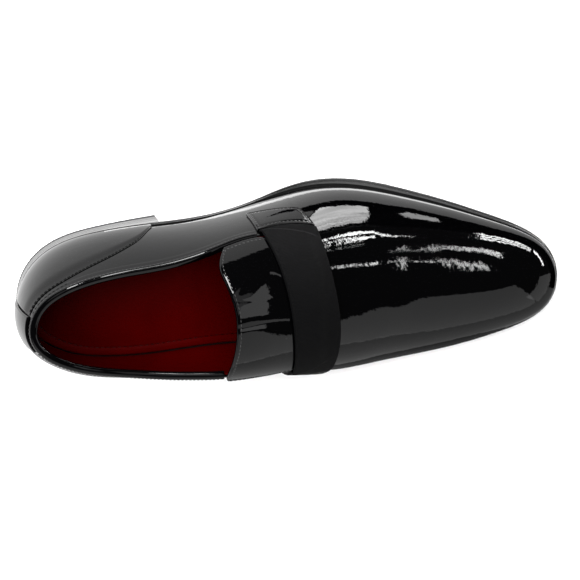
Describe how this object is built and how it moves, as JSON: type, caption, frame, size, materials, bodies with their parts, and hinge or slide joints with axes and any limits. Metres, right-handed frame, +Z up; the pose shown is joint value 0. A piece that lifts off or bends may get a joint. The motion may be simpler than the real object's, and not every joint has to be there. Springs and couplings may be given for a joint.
{
  "type": "loafer shoe",
  "caption": "Low men's evening loafer, left shoe, with an open collar, a tongue under a cloth strap between two tabs, a stepped sole and a low block heel.",
  "frame": {"origin": "on the floor, under the middle of the heel block", "axes": "+X to the toe, +Y to the outer side of the left foot, +Z up"},
  "size_m": [0.3069, 0.1039, 0.1012],
  "materials": {
    "patent": "black patent, mirror gloss",
    "grosgrain": "black ribbed ribbon, matte",
    "lining": "smooth dark red, satin",
    "sole": "black sole leather, polished edge",
    "heel": "black stacked heel, satin"
  },
  "bodies": {
    "root": {"outsole": "sole", "heel": "heel", "upper": "patent", "counter_lateral": "patent", "counter_medial": "patent", "back_strip": "patent", "collar_binding": "patent", "tongue": "patent", "strap": "grosgrain", "strap_tab_lateral": "patent", "strap_tab_medial": "patent", "insole": "lining"}
  },
  "joints": []
}
